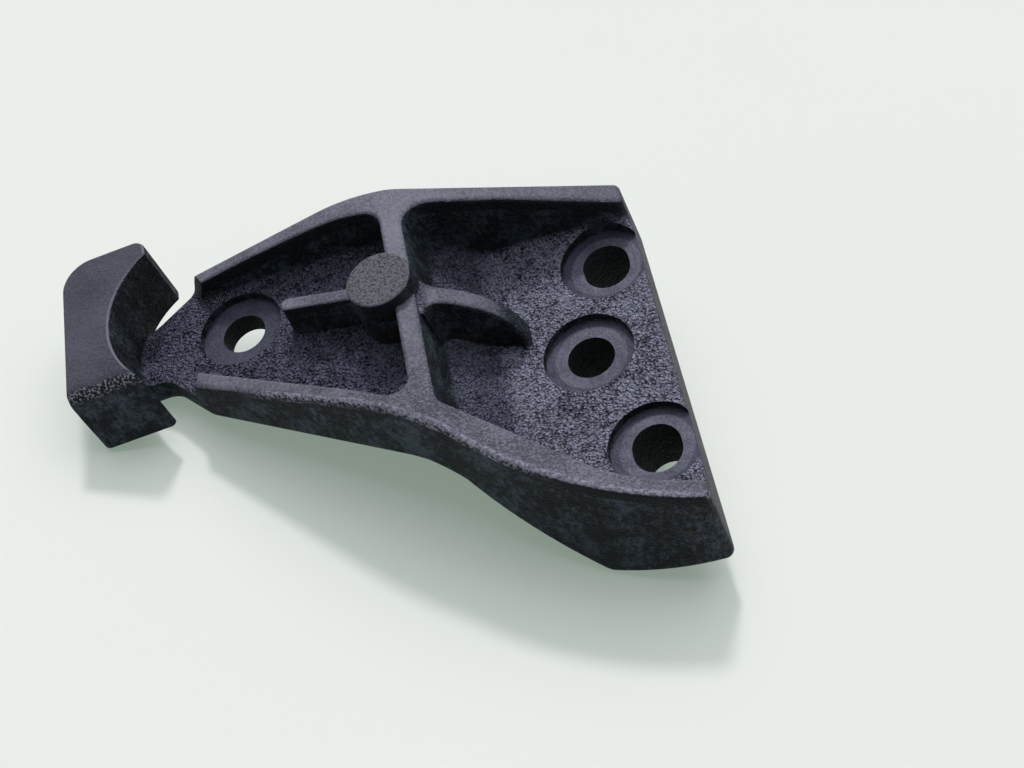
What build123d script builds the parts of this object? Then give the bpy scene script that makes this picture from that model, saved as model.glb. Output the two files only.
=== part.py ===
from build123d import *
import math
import os

os.makedirs("parts", exist_ok=True)

# Levels above the mating face
seat_z = 18.0
plateau_z = 20.5
arm_under_z = 31.0
arm_floor_z = 40.0
arm_seat_z = 37.5
crest_z = 55.1
boss_z = 55.5
head_under_z = 38.8
head_top_z = 60.0

# Left end of the arm, where its rims stop above the neck
arm_end_x = -100.0

# Bolt holes, the middle foot hole stands at the origin
bolt_hole_d = 13.0
slot_len = 14.6
spot_r = 12.5
arm_hole_x = arm_end_x + 11.7
arm_hole_y = 32.8
arm_hole_d = 12.4
arm_spot_r = 12.0
outer_hole_x = 10.4
far_hole_y = 28.3
near_hole_y = -34.8

# Casting draft of the outer and of the pocket walls
draft = 4.5
wall_draft = 3.0

# Foot and arm along the length
foot_end_x = 20.5
heel_x = -12.0
heel_angle = 47.0
neck_end_x = arm_end_x - 20.0

# Near side of the plan outline at the mating face
neck_near_y = 20.8
neck_bend_x = arm_end_x - 12.0
near_end_y = 8.8
bend_x = -46.2
bend_y = -28.4
bow_start_x = -38.0
bow_start_y = -34.8
foot_near_y = -62.2
bow_mid_x = -9.0
bow_mid_y = foot_near_y + 6.8

# Far side of the plan outline at the mating face
foot_far_y = 48.9
far_bend_x = -38.0
far_bend_y = 56.6
far_corner_x = arm_end_x + 0.2
far_corner_y = far_bend_y - 1.0
far_corner_r = 12.0
neck_far_y = 42.2

# Rim top line in side view
rim_left_z = 46.8
rim_slope = 22.6
crest_x = -46.0
crest_r = 45.0

# Cross rib between arm and foot
rib_left_x = -42.2
rib_right_x = -34.3
rib_near_y = -21.5
rib_far_y = far_bend_y - 11.8

# Recess of the foot, measured on its floor, with its walls' clearances from the outline
ramp_top_z = 34.0
ramp_angle = 45.0
recess_bow_x = -3.0
recess_bow_y = foot_near_y + 15.2
recess_mid_x = 6.0
recess_mid_y = foot_near_y + 11.0
recess_near_y = foot_near_y + 8.2
recess_far_y = foot_far_y - 9.9
recess_bend_x = -10.0
recess_bend_y = foot_far_y - 5.1

# Pocket of the arm: its walls' clearances from the outline, measured along Y
near_wall_w = 10.3
far_wall_rib_w = 13.1
far_wall_mid_w = 10.0
far_wall_end_w = 9.5
far_wall_mid_x = -70.0

# Rim ends above the neck, each a leaning cut that runs back outwards
near_tip_x = arm_end_x - 1.0
far_tip_x = arm_end_x + 1.2
tip_back_x = 5.0
tip_back_y = 12.0
tip_lean = 24.0
tip_foot_r = 3.0

# Gusset that runs down from the cross rib and turns beside the middle seat
gusset_y = 14.0
gusset_w = 6.0
gusset_turn_x = -12.3
gusset_turn_r = 7.0
gusset_end_y = -11.0
gusset_mid_x = -24.5
gusset_mid_z = 41.2
gusset_low_x = -13.4
gusset_fall_z = 26.0
gusset_root_w = 4.0

# Boss and short rib in the arm pocket
boss_x = -43.8
boss_y = 17.9
boss_r = 8.9
short_rib_z = 50.5
short_rib_w = 4.0
short_rib_x = -73.0
short_rib_y = 26.2

# Head block with its round hollow, and what is left of it at its far tip
head_out_x = -131.0
head_tip_x = -106.0
head_near_y = 8.8
head_near_top_y = 11.2
hollow_x = -90.4
hollow_y = 30.1
hollow_r = 27.5
head_tip_w = 5.55

# Rounded edges of the casting
under_r = 4.0
rim_r = 1.0
rim_in_r = 1.5
near_rim_r = 1.6
pocket_r = 2.5
recess_r = 4.0
gusset_r = 1.8
gusset_near_r = 1.2
head_r = 0.8
hollow_foot_r = 2.5
foot_under_r = 2.2

stock_z = 62.0
over = 6.0

hollow_reach = math.sqrt(hollow_r**2 - (head_tip_x - hollow_x) ** 2)
head_far_y = hollow_y + hollow_reach + head_tip_w
near_corner_x = arm_end_x - 3.0
near_corner_y = near_end_y + 1.2
rim_slope_rise = math.tan(math.radians(rim_slope))
rim_end_z = crest_z - (foot_end_x - crest_x) * rim_slope_rise
heel_top_x = heel_x - arm_under_z / math.tan(math.radians(heel_angle))
ramp_rise = math.tan(math.radians(ramp_angle))
ramp_foot_x = rib_right_x + (ramp_top_z - plateau_z) / ramp_rise
gusset_top_z = crest_z - (rib_right_x - crest_x) * rim_slope_rise
short_rib_len = math.hypot(short_rib_x - boss_x, short_rib_y - boss_y)
short_rib_angle = math.degrees(
    math.atan2(boss_y - short_rib_y + 0.9, boss_x - short_rib_x)
)


def recess_floor(x):
    """Height of the recess floor at x, along its ramp or on the level"""
    return max(plateau_z, plateau_z + (ramp_foot_x - x) * ramp_rise)


def rim_top(x):
    """Height of the rim top line at x"""
    left_rise = (crest_z - rim_left_z) / (crest_x - arm_end_x - 3)
    return min(crest_z - (x - crest_x) * rim_slope_rise, crest_z - (crest_x - x) * left_rise)


def near_side(x):
    """Plan position of the arm's near side at x"""
    slope = (bend_y - near_corner_y) / (bend_x - near_corner_x)
    return near_corner_y + (x - near_corner_x) * slope


def inner_rim_edges(part, x_low, x_high):
    """Edges that the last cut made on top of the rims"""
    return part.edges(Select.LAST).filter_by(
        lambda e: abs(e.center().Z - rim_top(e.center().X)) < 2.4
        and x_low < e.center().X < x_high
    )


# Recess of the foot: everything above its ramp and floor, between the rims
with BuildPart() as recess:
    with BuildSketch(Plane.XY.offset(plateau_z)) as recess_plan:
        with BuildLine():
            recess_near = Line((rib_right_x, rib_near_y), (recess_bow_x, recess_bow_y))
            recess_bow = ThreePointArc(
                recess_near @ 1,
                (recess_mid_x, recess_mid_y),
                (foot_end_x + over, recess_near_y),
            )
            Polyline(
                recess_bow @ 1,
                (foot_end_x + over, recess_far_y),
                (recess_bend_x, recess_bend_y),
                (rib_right_x, rib_far_y),
                recess_near @ 0,
            )
        make_face()
        fillet(
            recess_plan.vertices().sort_by_distance((rib_right_x, rib_near_y))[0], 3
        )
        fillet(recess_plan.vertices().sort_by_distance((rib_right_x, rib_far_y))[0], 7)
    extrude(amount=stock_z - plateau_z, taper=-wall_draft)
    with BuildSketch(Plane.XZ) as recess_side:
        with BuildLine():
            Polyline(
                (rib_right_x - over, ramp_top_z + over * ramp_rise),
                (ramp_foot_x, plateau_z),
                (foot_end_x + 2 * over, plateau_z),
                (foot_end_x + 2 * over, stock_z),
                (rib_right_x - over, stock_z),
                close=True,
            )
        make_face()
        fillet(recess_side.vertices().sort_by_distance((ramp_foot_x, plateau_z))[0], 12)
    extrude(amount=80, both=True, mode=Mode.INTERSECT)
    recess_low = recess.edges().filter_by(
        lambda e: abs(e.center().Z - recess_floor(e.center().X)) < 2.5
        and e.center().X < foot_end_x
        and not (e.length > 60 and e.center().X > rib_right_x + 4)
    )
    fillet(recess_low, recess_r)

# Pocket of the arm, open towards the neck
with BuildPart() as pocket:
    with BuildSketch(Plane.XY.offset(arm_floor_z)) as pocket_plan:
        with BuildLine():
            Polyline(
                (neck_end_x - over, far_bend_y - far_wall_end_w),
                (neck_end_x - over, near_side(neck_end_x - over) + near_wall_w),
                (rib_left_x, near_side(rib_left_x) + near_wall_w),
                (rib_left_x, far_bend_y - far_wall_rib_w),
            )
            ThreePointArc(
                (rib_left_x, far_bend_y - far_wall_rib_w),
                (far_wall_mid_x, far_bend_y - far_wall_mid_w),
                (far_tip_x, far_bend_y - far_wall_end_w),
            )
            Line(
                (far_tip_x, far_bend_y - far_wall_end_w),
                (neck_end_x - over, far_bend_y - far_wall_end_w),
            )
        make_face()
        fillet(pocket_plan.vertices().group_by(Axis.X)[-1], 4)
    extrude(amount=stock_z - arm_floor_z, taper=-wall_draft)
    fillet(pocket.faces().sort_by(Axis.Z)[0].edges(), pocket_r)

# Cut that ends both rims above the neck, its faces leaning back with height
with BuildPart() as rim_ends:
    near_tip_y = near_side(near_tip_x) + near_wall_w
    far_tip_y = far_bend_y - far_wall_end_w
    with BuildSketch(Plane.XY.offset(arm_floor_z)) as ends_plan:
        with BuildLine():
            Polyline(
                (near_tip_x + 1.5, near_tip_y + 3.6),
                (far_tip_x + 1.5, far_tip_y - 3.6),
                (far_tip_x - tip_back_x, far_tip_y - 3.6 + tip_back_y * 1.3),
                (far_tip_x - tip_back_x, far_tip_y + 2 * tip_back_y),
                (neck_end_x - over, far_tip_y + 2 * tip_back_y),
                (neck_end_x - over, near_tip_y - tip_back_y),
                (near_tip_x + 1.5 - tip_back_x * 1.3, near_tip_y - tip_back_y),
                close=True,
            )
        make_face()
    extrude(amount=stock_z - arm_floor_z, taper=-tip_lean)
    fillet(rim_ends.faces().sort_by(Axis.Z)[0].edges(), tip_foot_r)

# Gusset: a rib that runs down from the cross rib and turns along the middle seat
with BuildPart() as gusset:
    half_w = gusset_w / 2 + 0.8
    with BuildSketch(Plane.XY.offset(seat_z)) as gusset_plan:
        with BuildLine():
            Polyline(
                (rib_right_x, gusset_y + half_w),
                (rib_right_x, gusset_y + half_w + gusset_root_w),
                (rib_right_x - 4, gusset_y + half_w + gusset_root_w),
                (rib_right_x - 4, gusset_y - half_w - gusset_root_w),
                (rib_right_x, gusset_y - half_w - gusset_root_w),
                (rib_right_x, gusset_y - half_w),
                (gusset_turn_x - half_w, gusset_y - half_w),
                (gusset_turn_x - half_w, gusset_end_y),
                (gusset_turn_x + half_w, gusset_end_y),
                (gusset_turn_x + half_w, gusset_y + half_w),
                close=True,
            )
        make_face()
        outer_turn = (gusset_turn_x + half_w, gusset_y + half_w)
        inner_turn = (gusset_turn_x - half_w, gusset_y - half_w)
        for root_y in (gusset_y + half_w, gusset_y - half_w):
            root = (rib_right_x, root_y)
            fillet(gusset_plan.vertices().sort_by_distance(root)[0], gusset_root_w - 0.2)
        turns = gusset_plan.vertices()
        fillet(turns.sort_by_distance(outer_turn)[0], gusset_turn_r + half_w)
        fillet(
            gusset_plan.vertices().sort_by_distance(inner_turn)[0],
            gusset_turn_r - half_w,
        )
    extrude(amount=crest_z - seat_z, taper=1.5)
    with BuildSketch(Plane.XZ) as gusset_side:
        with BuildLine():
            gusset_top = ThreePointArc(
                (rib_right_x - 5, gusset_top_z + 0.9),
                (gusset_mid_x, gusset_mid_z),
                (gusset_low_x, seat_z),
            )
            Polyline(
                gusset_top @ 1,
                (rib_right_x - 5, seat_z),
                gusset_top @ 0,
            )
        make_face()
    extrude(amount=60, both=True, mode=Mode.INTERSECT)
    far_top = (gusset_mid_x, gusset_y + gusset_w / 2, gusset_mid_z)
    near_top = (gusset_mid_x, gusset_y - gusset_w / 2, gusset_mid_z)
    fillet(gusset.edges().sort_by_distance(far_top)[0], gusset_r)
    fillet(gusset.edges().sort_by_distance(near_top)[0], gusset_near_r)
    # Its turned end falls away along the middle seat
    with BuildSketch(Plane.YZ.offset(gusset_turn_x - gusset_turn_r - 1)):
        with BuildLine():
            fall = ThreePointArc(
                (gusset_end_y - 1, plateau_z - 1),
                (gusset_y - gusset_turn_r - 5, gusset_fall_z),
                (gusset_y - gusset_w / 2 - 0.6, arm_floor_z),
            )
            Polyline(
                fall @ 1,
                (gusset_y - gusset_w / 2 - 0.6, stock_z),
                (gusset_end_y - 1, stock_z),
                fall @ 0,
            )
        make_face()
    extrude(amount=3 * over, mode=Mode.SUBTRACT)

# Boss: the round pad on the cross rib
with BuildPart() as boss:
    with BuildSketch(Plane.XY.offset(arm_floor_z - 1)):
        with Locations((boss_x, boss_y)):
            Circle(boss_r + 0.8)
    extrude(amount=boss_z - arm_floor_z + 1, taper=wall_draft)
    fillet(boss.faces().sort_by(Axis.Z)[-1].edges(), 0.6)

# Short rib from the boss towards the arm bolt seat
with BuildPart() as short_rib:
    with BuildSketch(Plane.XY.offset(arm_floor_z - 1)):
        with Locations(((short_rib_x + boss_x) / 2, (short_rib_y + boss_y) / 2 + 0.4)):
            SlotOverall(short_rib_len, short_rib_w + 1.2, rotation=short_rib_angle)
    extrude(amount=short_rib_z - arm_floor_z + 1, taper=wall_draft)
    fillet(short_rib.faces().sort_by(Axis.Z)[-1].edges(), 0.8)

# Head: a short upright block with a round hollow towards the arm
with BuildPart() as head:
    with BuildSketch(Plane.XY.offset(head_under_z)) as head_plan:
        with BuildLine():
            Polyline(
                (head_out_x, head_near_y),
                (head_tip_x, head_near_y),
                (head_tip_x, head_far_y),
                (head_out_x, head_far_y),
                close=True,
            )
        make_face()
        with Locations((hollow_x, hollow_y)):
            Circle(hollow_r, mode=Mode.SUBTRACT)
        fillet(head_plan.vertices().sort_by_distance((head_out_x, head_far_y))[0], 9)
        fillet(head_plan.vertices().sort_by_distance((head_tip_x, head_far_y))[0], 3.5)
        fillet(head_plan.vertices().sort_by_distance((head_out_x, head_near_y))[0], 2.5)
        fillet(
            head_plan.vertices().sort_by_distance((head_tip_x - 3, head_near_y))[0], 1.3
        )
    extrude(amount=head_top_z - head_under_z)
    fillet(head.faces().sort_by(Axis.Z)[-1].edges(), head_r)
    with BuildSketch(Plane.YZ) as head_side:
        with BuildLine():
            Polyline(
                (head_near_y, head_under_z),
                (head_far_y + over, head_under_z),
                (head_far_y + over, head_top_z),
                (head_near_top_y, head_top_z),
                close=True,
            )
        make_face()
        fillet(head_side.vertices().sort_by_distance((head_near_top_y, head_top_z))[0], 4.5)
    extrude(amount=head_out_x - over, mode=Mode.INTERSECT)

with BuildPart() as bracket:
    # Web: plan outline with casting draft, trimmed to the side view
    with BuildSketch() as web_plan:
        with BuildLine():
            near_line = Polyline(
                (neck_end_x - over, neck_near_y),
                (neck_bend_x, neck_near_y),
                (near_corner_x, near_corner_y),
                (bend_x, bend_y),
                (bow_start_x, bow_start_y),
            )
            bow = ThreePointArc(
                near_line @ 1, (bow_mid_x, bow_mid_y), (foot_end_x + over, foot_near_y)
            )
            Polyline(
                bow @ 1,
                (foot_end_x + over, foot_far_y),
                (far_bend_x, far_bend_y),
                (far_corner_x, far_corner_y),
                (neck_end_x - over, neck_far_y - 4),
                near_line @ 0,
            )
        make_face()
        fillet(web_plan.vertices().sort_by_distance((neck_bend_x, neck_near_y))[0], 5)
        fillet(web_plan.vertices().sort_by_distance((near_corner_x, near_corner_y))[0], 8)
        fillet(web_plan.vertices().sort_by_distance((bend_x, bend_y))[0], 10)
        fillet(
            web_plan.vertices().sort_by_distance((far_corner_x, far_corner_y))[0],
            far_corner_r,
        )
        fillet(web_plan.vertices().sort_by_distance((far_bend_x, far_bend_y))[0], 20)
    extrude(amount=stock_z, taper=draft)
    with BuildSketch(Plane.XZ) as side:
        with BuildLine():
            Polyline(
                (foot_end_x, 0),
                (heel_x, 0),
                (heel_top_x, arm_under_z),
                (neck_end_x, arm_under_z),
                (neck_end_x, rim_top(neck_end_x)),
                (crest_x, crest_z),
                (foot_end_x, rim_end_z),
                close=True,
            )
        make_face()
        fillet(side.vertices().sort_by_distance((crest_x, crest_z))[0], crest_r)
        fillet(side.vertices().sort_by_distance((heel_top_x, arm_under_z))[0], 16)
    extrude(amount=80, both=True, mode=Mode.INTERSECT)
    # Foot recess and arm pocket, with rounded inner rim edges
    add(recess.part, mode=Mode.SUBTRACT)
    fillet(inner_rim_edges(bracket, -50, foot_end_x - 0.5), rim_in_r)
    add(pocket.part, mode=Mode.SUBTRACT)
    fillet(inner_rim_edges(bracket, arm_end_x + 4, rib_right_x - 2), rim_r)
    add(rim_ends.part, mode=Mode.SUBTRACT)

    # Outer edges: foot corners, underside and rim tops
    arm_x = (arm_end_x + crest_x) / 2
    near_corner = (foot_end_x, foot_near_y + 1.5, seat_z - 5)
    far_corner = (foot_end_x, foot_far_y, seat_z - 5)
    near_under = (arm_x, near_side(arm_x) + 2.5, arm_under_z)
    far_under = (arm_x, far_bend_y - 3, arm_under_z)
    foot_under = (foot_end_x / 4, foot_near_y + 2.8, 0)
    near_rim = (arm_x, near_side(arm_x) + 3.6, rim_top(arm_x))
    fillet(bracket.edges().sort_by_distance(near_corner)[0], 2.5)
    fillet(bracket.edges().sort_by_distance(far_corner)[0], 2.0)
    fillet(bracket.edges().sort_by_distance(near_under)[0], under_r)
    fillet(bracket.edges().sort_by_distance(far_under)[0], 3.0)
    fillet(bracket.edges().sort_by_distance(foot_under)[0], foot_under_r)
    fillet(bracket.edges().sort_by_distance(near_rim)[0], near_rim_r)

    # Gusset, ridge, boss and short rib
    add(gusset.part)
    add(boss.part)
    add(short_rib.part)

    # Neck under the head, then the head itself
    with BuildSketch(Plane.XZ.offset(-41)):
        with BuildLine():
            Polyline(
                (neck_end_x + over, arm_under_z),
                (neck_end_x + 2, arm_under_z),
                (head_out_x + 2, head_under_z + 1),
                (neck_end_x + over, head_under_z + 1),
                close=True,
            )
        make_face()
    extrude(amount=14.5)
    add(head.part)
    hollow_foot = (hollow_x - hollow_r, hollow_y, arm_floor_z)
    fillet(bracket.edges().sort_by_distance(hollow_foot)[0], hollow_foot_r)

    # Spot faces and bolt holes
    with BuildSketch(Plane.XY.offset(seat_z)):
        with Locations((0, 0), (outer_hole_x, far_hole_y), (outer_hole_x, near_hole_y)):
            Circle(spot_r)
    extrude(amount=12, mode=Mode.SUBTRACT)
    with BuildSketch(Plane.XY.offset(arm_seat_z)):
        with Locations((arm_hole_x, arm_hole_y)):
            Circle(arm_spot_r)
    extrude(amount=12, mode=Mode.SUBTRACT)
    with BuildSketch():
        Circle(bolt_hole_d / 2)
        with Locations((outer_hole_x, far_hole_y), (outer_hole_x, near_hole_y)):
            SlotOverall(slot_len, bolt_hole_d, rotation=90)
    extrude(amount=stock_z, mode=Mode.SUBTRACT)
    with BuildSketch():
        with Locations((arm_hole_x, arm_hole_y)):
            Circle(arm_hole_d / 2)
    extrude(amount=stock_z, mode=Mode.SUBTRACT)

bracket.part.label = "bracket_casting"
export_step(bracket.part, "parts/bracket_casting.step")
print("solids", len(bracket.part.solids()), "volume cm3", bracket.part.volume / 1000)
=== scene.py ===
import math
import bpy
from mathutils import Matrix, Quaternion, Vector

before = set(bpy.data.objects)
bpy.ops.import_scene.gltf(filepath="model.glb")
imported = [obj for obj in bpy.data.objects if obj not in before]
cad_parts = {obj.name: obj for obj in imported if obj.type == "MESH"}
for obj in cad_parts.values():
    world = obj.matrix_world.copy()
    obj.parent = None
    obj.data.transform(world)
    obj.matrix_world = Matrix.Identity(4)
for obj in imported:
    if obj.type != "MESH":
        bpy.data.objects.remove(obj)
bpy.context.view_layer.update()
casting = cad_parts["bracket_casting"]

MM = 0.001
PER_M = 1000.0

# Lamps: where each shines from, its strength, and its width in degrees
BROAD_FROM = (0.38, 0.40, 0.84)
BROAD_LIGHT = 1.58
BROAD_WIDTH = 75.0
NARROW_FROM = (0.21, 0.68, 0.72)
NARROW_LIGHT = 1.50
NARROW_WIDTH = 8.0

# The room: its light on the casting, and the tone that is seen around it
ROOM_LIGHT = 0.20
ROOM_TINT = (0.93, 0.97, 1.0, 1)
ROOM_SEEN = (0.80, 0.83, 0.80, 1)

# The ground: which way is up on it, its radius in metres and its edges, its two
# tones with the size of their clouds in millimetres, its flat share and the
# tone of that, and its gloss
GROUND_UP = (0.349, 0.121, 0.92)
GROUND_R = 0.9
GROUND_EDGES = 96
GROUND_LOW_TONE = (0.800, 0.770, 0.785, 1)
GROUND_HIGH_TONE = (0.835, 0.801, 0.817, 1)
GROUND_CLOUD = 160.0
GROUND_FLAT = 0.30
GROUND_GLOW = (0.68, 0.86, 0.72, 1)
GROUND_ROUGHNESS = 0.55
GROUND_SPECULAR = 0.12

# The camera: place and aim in millimetres, roll in degrees, sensor in
# millimetres, and focal length and picture width in pixels
CAMERA_AT = (50.4, -314.8, 406.4)
AIM_AT = (-21.6, -2.9, 22.2)
ROLL = -29.5
SENSOR = 36.0
FOCAL_PIXELS = 1900.0
PICTURE_WIDTH = 1024.0
CLIP_NEAR = 0.01
CLIP_FAR = 20.0

# Tones of the casting: pocket floors, the foot's plateau, walls and rims. The pale floor and
# plateau tones are partly painted sheen on the grain
FLOOR_DARK = (0.006, 0.006, 0.012, 1)
FLOOR_PALE = (0.150, 0.153, 0.230, 1)
PLATEAU_DARK = (0.018, 0.018, 0.030, 1)
PLATEAU_PALE = (0.330, 0.337, 0.460, 1)
WALL_DARK = (0.003, 0.004, 0.006, 1)
WALL_PALE = (0.052, 0.073, 0.092, 1)
RIM_DARK = (0.056, 0.056, 0.076, 1)
RIM_PALE = (0.167, 0.167, 0.214, 1)
END_TONE = (0.125, 0.125, 0.140, 1)

# Tones of the boss top, the painted shade on the head top, and the bolt seats
BOSS_DARK = (0.026, 0.025, 0.031, 1)
BOSS_PALE = (0.116, 0.115, 0.136, 1)
HEAD_TOP_SHADE = (0.022, 0.024, 0.038, 1)
SEAT_DARK = (0.028, 0.028, 0.044, 1)
SEAT_DULL = (0.058, 0.058, 0.096, 1)
SEAT_MID = (0.058, 0.059, 0.086, 1)
SEAT_BRIGHT = (0.122, 0.125, 0.172, 1)

# Tones of painted glints (highlights) on floors, rims and the head's near edge, and of rust
GLINT = (0.330, 0.335, 0.420, 1)
HEAD_GLINT_TONE = (0.230, 0.235, 0.280, 1)
RUST = (0.050, 0.032, 0.024, 1)

# Gloss: one level and tint for the whole casting, and roughness by region
SPECULAR = 0.17
SPECULAR_TINT = (0.82, 0.86, 1.0, 1)
WALL_ROUGHNESS = 0.60
FLOOR_SMOOTHER = 0.30
RIM_ROUGHER = 0.16
SEAT_ROUGHER = 0.12
SPECK_ROUGHER = 0.25

# Relief: the depth in metres of a bump whose height is 1. Then the height of
# grains and the share of it on walls, the heights of specks and lumps with
# what rough skin or the near rim adds, and the depth of pits in the boss top
RELIEF = 0.0011
GRAIN_HEIGHT = 0.75
GRAIN_ON_WALLS = 0.3
SPECK_HEIGHT = 0.14
SPECK_MORE_ON_SKIN = 0.95
SPECK_MORE_ON_NEAR_RIM = 0.45
LUMP_HEIGHT = 0.20
LUMP_MORE_ON_SKIN = 0.8
PIT_DEPTH = 0.10

# How much of each noise goes into the pattern of floors, walls and rims
FLOOR_GRAINS = 0.28
FLOOR_SPECKS = 1.15
FLOOR_LUMPS = 0.6
FLOOR_CLOUDS = 0.35
WALL_STREAKS = 0.80
WALL_PATCHES = 0.60
RIM_CLOUDS = 0.8

# How far from its middle a grain starts to fall and has fallen, in grain sizes
GRAIN_FALLS = (0.20, 0.80)

# A noise runs from 0 to 1, and these say where a pattern made from it starts
# and where it is full
NOISE_MIDDLE = 0.5
BOSS_PITS = (0.34, 0.56)
FLOOR_PATTERN = (0.36, 1.00)
FLOOR_GLINT_SPECKS = (0.66, 0.74)
WALL_PATTERN = (0.62, 0.90)
FOOT_END_SPECKS = (0.25, 0.65)
RIM_PATTERN = (0.22, 0.74)
RIM_GLINT_SPECKS = (0.48, 0.66)
LIP_GLINT_SPECKS = (0.46, 0.56)
HEAD_GLINT_SPECKS = (0.50, 0.60)
RUST_BLOTCHES = (0.56, 0.70)
SEAT_PATTERN = (0.35, 0.65)

# Shares of a tone where its mask is full; painted glints on floors are whole on the plateau
FLOOR_GLINT_SHARE = 0.45
FOOT_END_SHARE = 0.9
RIM_GLINT_SHARE = 0.16
OUTER_HIGHLIGHT_SHARE = 0.30
HEAD_TOP_SHADE_SHARE = 0.65
RIDGE_SHARE = 0.7
RUST_SHARE = 0.45

# Two numbers say where a mask starts and where it is full, and four where it
# starts, is full, stops being full and ends. How far the surface faces up:
FLOOR_UP = (0.35, 0.8)
RIM_UP = (0.35, 0.7)
TOP_UP = (0.5, 0.8)
GUSSET_UP = (0.3, 0.6)
SEAT_UP = (0.8, 0.95)
BORE_UP = (0.4, 0.6)
RIDGE_UP = (0.30, 0.50)
HEAD_GLINT_UP = (0.2, 0.5)

# How far the surface faces the near side, and how far the foot's end
OUTER_EDGE_FACES_NEAR = (0.02, 0.40)
LIP_FACES_NEAR = (0.12, 0.35, 0.75, 0.9)
SHADE_LINE_FACES_NEAR = (0.7, 0.9)
FOOT_END_FACES_END = (0.85, 0.95)
RIDGE_FACES_END = (0.15, 0.40)

# Places are in millimetres from the middle bolt hole and the mating face, and
# a name with BACK counts towards the head, one with NEAR to the near side.
# Bolt seats: x, y, level, the hole's radius, and how bright its ring is. That brightness is set
# seat by seat to how light falls there; the arm seat's ring is dimmed, a painted shade
SEATS = [
    (0.0, 0.0, 18.0, 6.5, 1.0),
    (10.4, 28.3, 18.0, 6.5, 1.0),
    (10.4, -34.8, 18.0, 6.5, 1.0),
    (-88.3, 32.8, 37.5, 6.2, 0.1),
]
SEAT_R = (12.3, 12.5)
RING_R = (9.6, 10.2)
RING_RAGGED = 0.9
SEAT_BESIDE_LEVEL = (-0.6, -0.3, 0.25, 0.45)
BORE_PAST_HOLE = (1.4, 1.8)

# Rims: their crest, how fast they fall from it to the foot and to the head,
# and heights of their masks over the line that they follow
CREST_X, CREST_Z = -46.0, 55.1
CREST_ROUNDING = 10.7
FALL_TO_FOOT = 0.4163
FALL_TO_HEAD = 0.1627
RIM_RAGGED = 2.0
RIM_OVER_LINE = (-1.7, -0.7)
LIP_OVER_LINE = (-3.2, -2.2)
SHADE_LINE_OVER_LINE = (-4.8, -3.8)
SHADE_LINE_X = (-103.0, -101.0)
RIM_NEAR = (4.0, 16.0)
LIP_NEAR = (-5.0, 3.0)

# Boss, gusset and short rib
BOSS_X, BOSS_Y = -43.8, 17.9
BOSS_R = (8.3, 8.8)
BOSS_TOP_Z = (54.9, 55.3)
GUSSET_X = (-36.0, -33.0, -12.5, -9.5)
GUSSET_Y = (8.5, 10.0, 15.5, 19.5)
GUSSET_Z = (30.0, 38.0)
GUSSET_RAGGED = 4.0
SHORT_RIB_BACK = (50.0, 52.0)
SHORT_RIB_Y = (14.0, 16.0, 34.0, 35.0)
SHORT_RIB_Z = (49.6, 50.2)

# Head: its top, the rounded edge over its hollow, and its near edge with painted glints
HEAD_BACK = (104.0, 105.0)
HEAD_TOP_Z = (57.0, 58.8)
RIDGE_BACK = (99.0, 102.0)
RIDGE_Z = (57.0, 58.5)
HEAD_GLINT_BACK = (105.0, 106.5)
HEAD_GLINT_Z = (55.5, 57.0)
HEAD_GLINT_Y = (14.2, 15.6)
HEAD_GLINT_RAGGED = 3.0

# Foot: how low its plateau lies, and where its end begins
PLATEAU_Z = (21.0, 24.5)
PLATEAU_RAGGED = 3.0
FOOT_END_X = (19.9, 20.2)


# One socket, with the operators that the finishes below are written in
class Wire:
    def __init__(self, finish, socket):
        self.finish, self.socket = finish, socket

    def calc(self, kind, *values):
        return self.finish.node("ShaderNodeMath", {"operation": kind}, list(values))

    def __add__(self, other):
        return self.calc("ADD", self, other)

    __radd__ = __add__

    def __sub__(self, other):
        return self.calc("SUBTRACT", self, other)

    def __rsub__(self, other):
        return self.calc("SUBTRACT", other, self)

    def __mul__(self, other):
        return self.calc("MULTIPLY", self, other)

    __rmul__ = __mul__

    def __pow__(self, other):
        return self.calc("POWER", self, other)

    def __neg__(self):
        return 0 - self


def larger(first, *others):
    for other in others:
        first = first.calc("MAXIMUM", first, other)
    return first


def reach(x, y, middle_x, middle_y):
    """How far a point lies from an upright axis"""
    across, along = x - middle_x, y - middle_y
    return (across * across + along * along) ** 0.5


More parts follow.
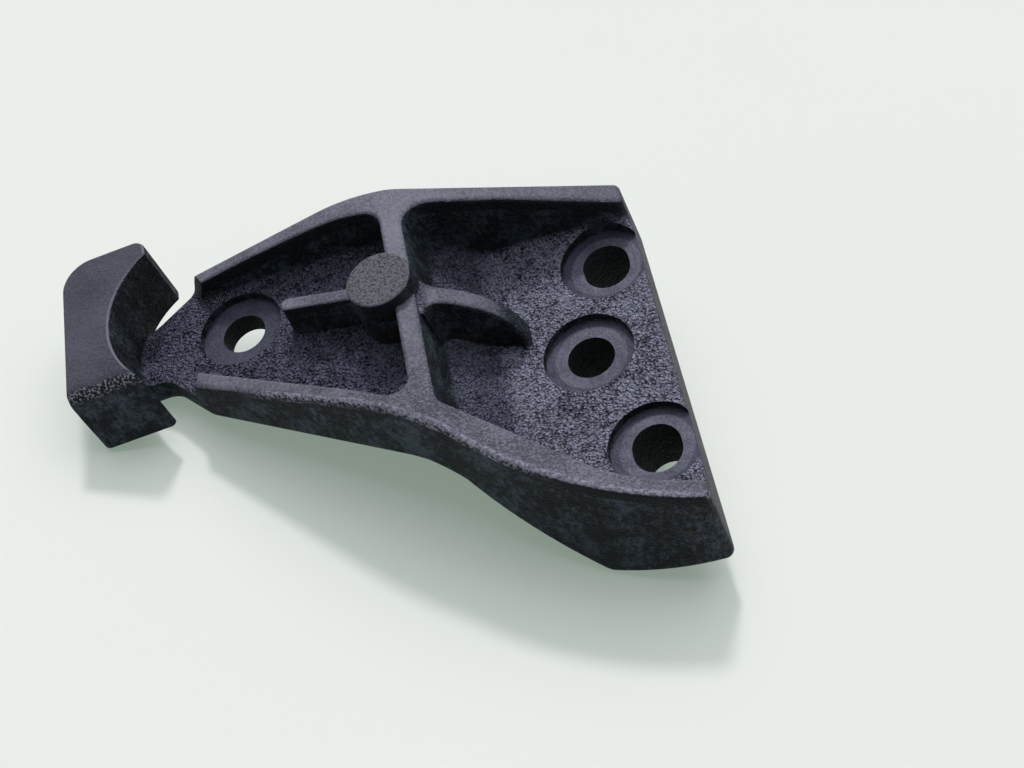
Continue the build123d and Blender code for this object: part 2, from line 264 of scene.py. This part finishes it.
class Finish:
    """A material whose shader is written as plain sums on wires"""

    def __init__(self, name):
        self.material = bpy.data.materials.new(name)
        self.material.use_nodes = True
        self.tree = self.material.node_tree
        self.tree.nodes.clear()
        self.out = self.tree.nodes.new("ShaderNodeOutputMaterial")

    def node(self, kind, settings=None, values=None, output=0):
        """Any node: its settings first, then the values or wires of its sockets"""
        made = self.tree.nodes.new(kind)
        for key, value in (settings or {}).items():
            setattr(made, key, value)
        pairs = values.items() if isinstance(values, dict) else enumerate(values or [])
        for key, value in pairs:
            if isinstance(value, Wire):
                self.tree.links.new(value.socket, made.inputs[key])
            else:
                made.inputs[key].default_value = value
        return Wire(self, made.outputs[output])

    def parts(self, vector):
        """A vector's x, y and z as three wires"""
        split = self.node("ShaderNodeSeparateXYZ", values=[vector]).socket.node
        return [Wire(self, out) for out in split.outputs]

    def spot(self):
        """Where a point lies on the object, in metres"""
        return self.node("ShaderNodeTexCoord", output="Object")

    def place(self):
        """Where a point lies on the object, in millimetres: x, y, z"""
        return [part * PER_M for part in self.parts(self.spot())]

    def facing(self):
        """Which way the surface faces: x, y, z"""
        return self.parts(self.node("ShaderNodeNewGeometry", output="Normal"))

    def step(self, wire, low, high):
        """0 below low, 1 above high, and smooth between"""
        return self.node(
            "ShaderNodeMapRange",
            {"interpolation_type": "SMOOTHSTEP"},
            {"Value": wire, "From Min": low, "From Max": high},
        )

    def between(self, wire, low, low_full, high_full, high):
        """1 from low_full to high_full, and 0 outside low and high"""
        return self.step(wire, low, low_full) * (1 - self.step(wire, high_full, high))

    def noise(self, size_mm, detail, rough, seed, stretch=(1, 1, 1)):
        """Cloudy noise whose features are about size_mm across"""
        moved = self.node(
            "ShaderNodeMapping",
            {},
            {
                "Vector": self.spot(),
                "Location": (seed, seed * 0.7, seed * 1.3),
                "Scale": stretch,
            },
        )
        return self.node(
            "ShaderNodeTexNoise",
            {"noise_dimensions": "3D"},
            {
                "Vector": moved,
                "Scale": PER_M / size_mm,
                "Detail": detail,
                "Roughness": rough,
            },
        )

    def grains(self, size_mm, drift_size_mm, drift_mm):
        """Rounded grains about size_mm across, 0 at their tops"""
        drift = self.node(
            "ShaderNodeTexNoise",
            {"noise_dimensions": "3D"},
            {"Vector": self.spot(), "Scale": PER_M / drift_size_mm, "Detail": 1.0},
            output="Color",
        )
        moved = self.node(
            "ShaderNodeVectorMath",
            {"operation": "MULTIPLY_ADD"},
            [drift, (drift_mm * MM,) * 3, self.spot()],
        )
        return self.node(
            "ShaderNodeTexVoronoi",
            {"feature": "F1"},
            {"Vector": moved, "Scale": PER_M / size_mm},
        )

    def blend(self, share, low, high):
        """Colour low where share is 0, colour high where it is 1"""
        return self.node(
            "ShaderNodeMix",
            {"data_type": "RGBA", "clamp_factor": True},
            {0: share, 6: low, 7: high},
            output=2,
        )

    def close(self, surface):
        self.tree.links.new(surface.socket, self.out.inputs["Surface"])
        return self.material


class Casting:
    """Masks and grain of the casting, shared by its tones, relief and gloss"""

    def __init__(self, finish):
        self.finish = finish
        self.x, self.y, self.z = finish.place()
        self.nx, self.ny, self.nz = finish.facing()
        self.up = finish.step(self.nz, *FLOOR_UP)
        self.clouds = finish.noise(size_mm=18.0, detail=3.0, rough=0.55, seed=3.0)
        self.wander = finish.noise(size_mm=5.0, detail=3.0, rough=0.6, seed=0.5)
        self.specks = finish.noise(size_mm=0.7, detail=2.0, rough=0.6, seed=1.0)
        self.lumps = finish.noise(size_mm=2.8, detail=2.0, rough=0.5, seed=8.0)
        grain = finish.grains(size_mm=0.8, drift_size_mm=4.0 / 3.0, drift_mm=1.12)
        self.grain_tops = 1 - finish.step(grain, *GRAIN_FALLS)
        pits = finish.noise(size_mm=0.7, detail=2.0, rough=0.6, seed=13.0)
        self.boss_mix = finish.step(pits, *BOSS_PITS)
        self.mark_smooth_tops()
        self.mark_seats()
        self.rough_skin = (1 - self.smooth) * (1 - self.seat)

    def mark_smooth_tops(self):
        """Rims, head, boss and rib tops are smoother than the floors"""
        finish, x, y, z, nz = self.finish, self.x, self.y, self.z, self.nz
        to_foot = CREST_Z - (x - CREST_X) * FALL_TO_FOOT
        to_head = CREST_Z - (CREST_X - x) * FALL_TO_HEAD
        rim_line = to_foot.calc("SMOOTH_MIN", to_foot, to_head, CREST_ROUNDING)
        self.over_line = z - rim_line
        self.ragged_over_line = self.over_line + (self.wander - NOISE_MIDDLE) * RIM_RAGGED
        self.rim = finish.step(self.ragged_over_line, *RIM_OVER_LINE) * finish.step(nz, *RIM_UP)
        self.near_rim = self.rim * finish.step(-y, *RIM_NEAR)
        self.head_top = (
            finish.step(-x, *HEAD_BACK) * finish.step(z, *HEAD_TOP_Z) * finish.step(nz, *TOP_UP)
        )
        boss_r = reach(x, y, BOSS_X, BOSS_Y)
        self.boss_top = (1 - finish.step(boss_r, *BOSS_R)) * finish.step(z, *BOSS_TOP_Z)
        gusset_top = (
            finish.between(x, *GUSSET_X)
            * finish.between(y, *GUSSET_Y)
            * finish.step(z + self.wander * GUSSET_RAGGED, *GUSSET_Z)
            * finish.step(nz, *GUSSET_UP)
        )
        short_rib_top = (
            finish.step(-x, *SHORT_RIB_BACK)
            * finish.between(y, *SHORT_RIB_Y)
            * finish.step(z, *SHORT_RIB_Z)
            * finish.step(nz, *TOP_UP)
        )
        self.smooth = larger(self.rim, self.head_top, self.boss_top, gusset_top, short_rib_top)

    def mark_seats(self):
        """Bolt seats cut by a tool: a dull outer band and a bright ring at the hole"""
        finish, x, y, z, nz = self.finish, self.x, self.y, self.z, self.nz
        seats, rings, bore_shades = [], [], []
        for seat_x, seat_y, level, hole_r, shine in SEATS:
            r = reach(x, y, seat_x, seat_y)
            at_level = finish.between(z - level, *SEAT_BESIDE_LEVEL)
            seat = (1 - finish.step(r, *SEAT_R)) * at_level * finish.step(nz, *SEAT_UP)
            seats.append(seat)
            ragged_r = r + (self.wander - NOISE_MIDDLE) * RING_RAGGED
            rings.append(seat * (1 - finish.step(ragged_r, *RING_R)) * shine)
            # Painted shade: the walls inside each bolt hole are painted black
            in_hole = 1 - finish.step(r - hole_r, *BORE_PAST_HOLE)
            bore_shades.append(in_hole * (1 - finish.step(nz, *BORE_UP)))
        self.seat, self.ring, self.bore_shade = larger(*seats), larger(*rings), larger(*bore_shades)

    def relief(self):
        """Grain of the sand mould: rounded grains, specks between them, broad lumps"""
        grain_share = self.up * (1 - GRAIN_ON_WALLS) + GRAIN_ON_WALLS
        speck_height = (
            SPECK_HEIGHT
            + self.rough_skin * SPECK_MORE_ON_SKIN
            + self.near_rim * SPECK_MORE_ON_NEAR_RIM
        )
        height = (
            self.grain_tops * GRAIN_HEIGHT * self.rough_skin * grain_share
            + self.specks * speck_height
            + self.boss_mix * self.boss_top * PIT_DEPTH
            + self.lumps * (LUMP_HEIGHT + self.rough_skin * LUMP_MORE_ON_SKIN)
        )
        return self.finish.node(
            "ShaderNodeBump", {}, {"Strength": 1.0, "Distance": RELIEF, "Height": height}
        )

    def floor_tone(self):
        """Floors are dark with pale specks and grain tops, grain with painted sheen on it. The
        foot's plateau is painted paler, a painted sheen, and painted glints are scattered on top
        """
        finish = self.finish
        ragged_z = self.z + (self.clouds - NOISE_MIDDLE) * PLATEAU_RAGGED
        plateau = 1 - finish.step(ragged_z, *PLATEAU_Z)
        pattern = (
            self.grain_tops * FLOOR_GRAINS
            + self.specks * FLOOR_SPECKS
            + (self.lumps - NOISE_MIDDLE) * FLOOR_LUMPS
            + (self.clouds - NOISE_MIDDLE) * FLOOR_CLOUDS
        )
        # The pale tones are partly painted sheen on the grain, and the plateau's paler pair is a
        # painted sheen
        dark = finish.blend(plateau, FLOOR_DARK, PLATEAU_DARK)
        pale = finish.blend(plateau, FLOOR_PALE, PLATEAU_PALE)
        tone = finish.blend(finish.step(pattern, *FLOOR_PATTERN), dark, pale)
        # Painted glints: pale highlight specks, sparse on pocket floors and whole on the plateau
        floor_glints = finish.noise(size_mm=0.65, detail=1.0, rough=0.5, seed=41.0)
        share = FLOOR_GLINT_SHARE + plateau * (1 - FLOOR_GLINT_SHARE)
        return finish.blend(finish.step(floor_glints, *FLOOR_GLINT_SPECKS) * share, tone, GLINT)

    def wall_tone(self):
        """Walls are black with blue-grey patches, and the foot's end is paler"""
        finish = self.finish
        streaks = finish.noise(size_mm=1.6, detail=4.0, rough=0.75, seed=9.0, stretch=(1, 1, 0.6))
        patches = finish.noise(size_mm=9.0, detail=3.0, rough=0.6, seed=31.0)
        pattern = streaks * WALL_STREAKS + patches * WALL_PATCHES
        tone = finish.blend(finish.step(pattern, *WALL_PATTERN), WALL_DARK, WALL_PALE)
        foot_end = finish.step(self.nx, *FOOT_END_FACES_END) * finish.step(self.x, *FOOT_END_X)
        end_specks = foot_end * finish.step(self.specks, *FOOT_END_SPECKS)
        return finish.blend(end_specks * FOOT_END_SHARE, tone, END_TONE)

    def add_rims(self, tone):
        """Grey rim tops; on the near rim painted glints and a painted highlight on its outer edge,
        a painted shade line under it, and painted glints on its lip
        """
        finish, ny = self.finish, self.ny
        pattern = self.specks + (self.clouds - NOISE_MIDDLE) * RIM_CLOUDS
        rim_mix = finish.step(pattern, *RIM_PATTERN)
        tone = finish.blend(self.smooth, tone, finish.blend(rim_mix, RIM_DARK, RIM_PALE))
        # Painted glints on the near rim: highlight specks, and a painted highlight along its outer
        # edge that faces the near side
        rim_glint_specks = self.near_rim * finish.step(self.specks, *RIM_GLINT_SPECKS)
        outer_edge_highlight = self.near_rim * finish.step(-ny, *OUTER_EDGE_FACES_NEAR)
        rim_glints = rim_glint_specks * RIM_GLINT_SHARE + outer_edge_highlight * OUTER_HIGHLIGHT_SHARE
        tone = finish.blend(rim_glints, tone, GLINT)
        # Painted shade: a black line along the near wall just under the rim's edge
        shade_line = (
            finish.step(-ny, *SHADE_LINE_FACES_NEAR)
            * finish.step(self.ragged_over_line, *SHADE_LINE_OVER_LINE)
            * finish.step(self.x, *SHADE_LINE_X)
        )
        tone = finish.blend(shade_line, tone, WALL_DARK)
        # Painted glints: highlight specks along the near rim's lip
        lip_glint_noise = finish.noise(size_mm=0.9, detail=2.0, rough=0.6, seed=47.0)
        lip_glints = (
            finish.between(-ny, *LIP_FACES_NEAR)
            * finish.step(self.over_line, *LIP_OVER_LINE)
            * finish.step(-self.y, *LIP_NEAR)
            * finish.step(lip_glint_noise, *LIP_GLINT_SPECKS)
        )
        return finish.blend(lip_glints, tone, GLINT)

    def add_boss_and_head(self, tone):
        """Pitted boss top, painted shade darkening the head top, a painted highlight on its ridge
        and painted glints on its near edge
        """
        finish, x, y, z, nx, nz = self.finish, self.x, self.y, self.z, self.nx, self.nz
        tone = finish.blend(self.boss_top, tone, finish.blend(self.boss_mix, BOSS_DARK, BOSS_PALE))
        # Painted shade: the head top is darkened
        tone = finish.blend(self.head_top * HEAD_TOP_SHADE_SHARE, tone, HEAD_TOP_SHADE)
        # The rounded edge between the head's top and its hollow catches the light
        ridge = (
            finish.step(nx, *RIDGE_FACES_END)
            * finish.step(nz, *RIDGE_UP)
            * finish.step(z, *RIDGE_Z)
            * finish.step(-x, *RIDGE_BACK)
        )
        tone = finish.blend(ridge * RIDGE_SHARE, tone, RIM_PALE)
        # Painted glints: bright highlight specks on black along the head's near top edge
        head_glint_edge = (
            finish.step(-x, *HEAD_GLINT_BACK)
            * finish.step(z, *HEAD_GLINT_Z)
            * (1 - finish.step(y + self.wander * HEAD_GLINT_RAGGED, *HEAD_GLINT_Y))
            * finish.step(nz, *HEAD_GLINT_UP)
        )
        head_glint_noise = finish.noise(size_mm=0.6, detail=2.0, rough=0.6, seed=17.0)
        head_glint_tone = finish.blend(finish.step(head_glint_noise, *HEAD_GLINT_SPECKS), WALL_DARK, HEAD_GLINT_TONE)
        return finish.blend(head_glint_edge, tone, head_glint_tone)

    def add_rust_and_seats(self, tone):
        """Faint rust on the rough skin, then the cut seats, and painted shade blacking out the
        walls inside the bolt holes
        """
        finish = self.finish
        blotches = finish.noise(size_mm=7.0, detail=5.0, rough=0.7, seed=21.0)
        rust = finish.step(blotches, *RUST_BLOTCHES) * self.rough_skin
        tone = finish.blend(rust * RUST_SHARE, tone, RUST)
        seat_mix = finish.step((self.specks + self.wander) * 0.5, *SEAT_PATTERN)
        tone = finish.blend(self.seat, tone, finish.blend(seat_mix, SEAT_DARK, SEAT_DULL))
        tone = finish.blend(self.ring, tone, finish.blend(seat_mix, SEAT_MID, SEAT_BRIGHT))
        # Painted shade inside the bolt holes
        return finish.blend(self.bore_shade, tone, WALL_DARK)

    def tone(self):
        tone = self.finish.blend(self.up, self.wall_tone(), self.floor_tone())
        return self.add_rust_and_seats(self.add_boss_and_head(self.add_rims(tone)))

    def roughness(self):
        return (
            WALL_ROUGHNESS
            - self.up * FLOOR_SMOOTHER
            + self.smooth * RIM_ROUGHER
            + self.seat * SEAT_ROUGHER
            + (self.specks - NOISE_MIDDLE) * SPECK_ROUGHER
        )


def cast_iron():
    """Blackened cast iron as it came from a sand mould, with tool-cut seats"""
    finish = Finish("blackened_cast_iron")
    skin = Casting(finish)
    shader = finish.node(
        "ShaderNodeBsdfPrincipled",
        {},
        {
            "Base Color": skin.tone(),
            "Roughness": skin.roughness(),
            "Specular IOR Level": SPECULAR,
            "Specular Tint": SPECULAR_TINT,
            "Normal": skin.relief(),
        },
    )
    return finish.close(shader)


def ground_finish():
    """Pale ground; part of the tone that is seen is flat, so shadows stay light"""
    finish = Finish("pale_ground")
    clouds = finish.noise(size_mm=GROUND_CLOUD, detail=2.0, rough=0.5, seed=2.0)
    top = finish.node(
        "ShaderNodeBsdfPrincipled",
        {},
        {
            "Base Color": finish.blend(clouds, GROUND_LOW_TONE, GROUND_HIGH_TONE),
            "Roughness": GROUND_ROUGHNESS,
            "Specular IOR Level": GROUND_SPECULAR,
        },
    )
    flat = finish.node("ShaderNodeEmission", {}, {"Color": GROUND_GLOW, "Strength": 1.0})
    seen = larger(
        finish.node("ShaderNodeLightPath", output="Is Camera Ray"),
        finish.node("ShaderNodeLightPath", output="Is Glossy Ray"),
        finish.node("ShaderNodeLightPath", output="Is Transmission Ray"),
    )
    surface = finish.node("ShaderNodeMixShader", {}, [seen * GROUND_FLAT, top, flat])
    # From below the ground is clear, so the underside can be looked at
    clear = finish.node("ShaderNodeBsdfTransparent")
    back = finish.node("ShaderNodeNewGeometry", output="Backfacing")
    return finish.close(finish.node("ShaderNodeMixShader", {}, [back, surface, clear]))


def add_ground():
    """The plain ground under the bracket, tilted so that the bracket leans on it"""
    up = Vector(GROUND_UP).normalized()
    lowest = min(casting.data.vertices, key=lambda corner: corner.co.dot(up)).co
    bpy.ops.object.select_all(action="DESELECT")
    bpy.ops.mesh.primitive_circle_add(
        vertices=GROUND_EDGES,
        radius=GROUND_R,
        fill_type="NGON",
        location=lowest,
        rotation=up.to_track_quat("Z", "Y").to_euler(),
    )
    ground = bpy.context.object
    ground.name = "pale_ground"
    ground.data.materials.append(ground_finish())


def set_world():
    """A pale surround where it is seen, and a weak even light on the casting"""
    world = bpy.data.worlds.new("pale_room")
    bpy.context.scene.world = world
    world.use_nodes = True
    nodes, links = world.node_tree.nodes, world.node_tree.links
    nodes.clear()
    out = nodes.new("ShaderNodeOutputWorld")
    path = nodes.new("ShaderNodeLightPath")
    seen = path.outputs["Is Camera Ray"]
    for ray in ("Is Glossy Ray", "Is Transmission Ray"):
        either = nodes.new("ShaderNodeMath")
        either.operation = "MAXIMUM"
        links.new(seen, either.inputs[0])
        links.new(path.outputs[ray], either.inputs[1])
        seen = either.outputs[0]
    soft = nodes.new("ShaderNodeBackground")
    soft.inputs["Color"].default_value = ROOM_TINT
    soft.inputs["Strength"].default_value = ROOM_LIGHT
    pale = nodes.new("ShaderNodeBackground")
    pale.inputs["Color"].default_value = ROOM_SEEN
    mix = nodes.new("ShaderNodeMixShader")
    links.new(seen, mix.inputs[0])
    links.new(soft.outputs[0], mix.inputs[1])
    links.new(pale.outputs[0], mix.inputs[2])
    links.new(mix.outputs[0], out.inputs["Surface"])


def add_lamp(name, light_from, strength, width):
    data = bpy.data.lights.new(name, "SUN")
    data.energy, data.angle = strength, math.radians(width)
    lamp = bpy.data.objects.new(name, data)
    bpy.context.scene.collection.objects.link(lamp)
    lamp.rotation_mode = "QUATERNION"
    lamp.rotation_quaternion = (-Vector(light_from)).to_track_quat("-Z", "Y")


def add_camera():
    """The camera at the photograph's viewing angle"""
    data = bpy.data.cameras.new("photo_view")
    camera = bpy.data.objects.new("photo_view", data)
    bpy.context.scene.collection.objects.link(camera)
    data.sensor_width = SENSOR
    data.lens = SENSOR * FOCAL_PIXELS / PICTURE_WIDTH
    data.clip_start, data.clip_end = CLIP_NEAR, CLIP_FAR
    place, aim = Vector(CAMERA_AT) * MM, Vector(AIM_AT) * MM
    camera.location = place
    camera.rotation_mode = "QUATERNION"
    look = (aim - place).to_track_quat("-Z", "Y")
    camera.rotation_quaternion = look @ Quaternion((0, 0, 1), math.radians(ROLL))
    bpy.context.scene.camera = camera


casting.data.materials.clear()
casting.data.materials.append(cast_iron())
add_ground()
set_world()
add_lamp("broad_lamp", BROAD_FROM, BROAD_LIGHT, BROAD_WIDTH)
add_lamp("narrow_lamp", NARROW_FROM, NARROW_LIGHT, NARROW_WIDTH)
add_camera()
bpy.context.scene.view_settings.view_transform = "Standard"
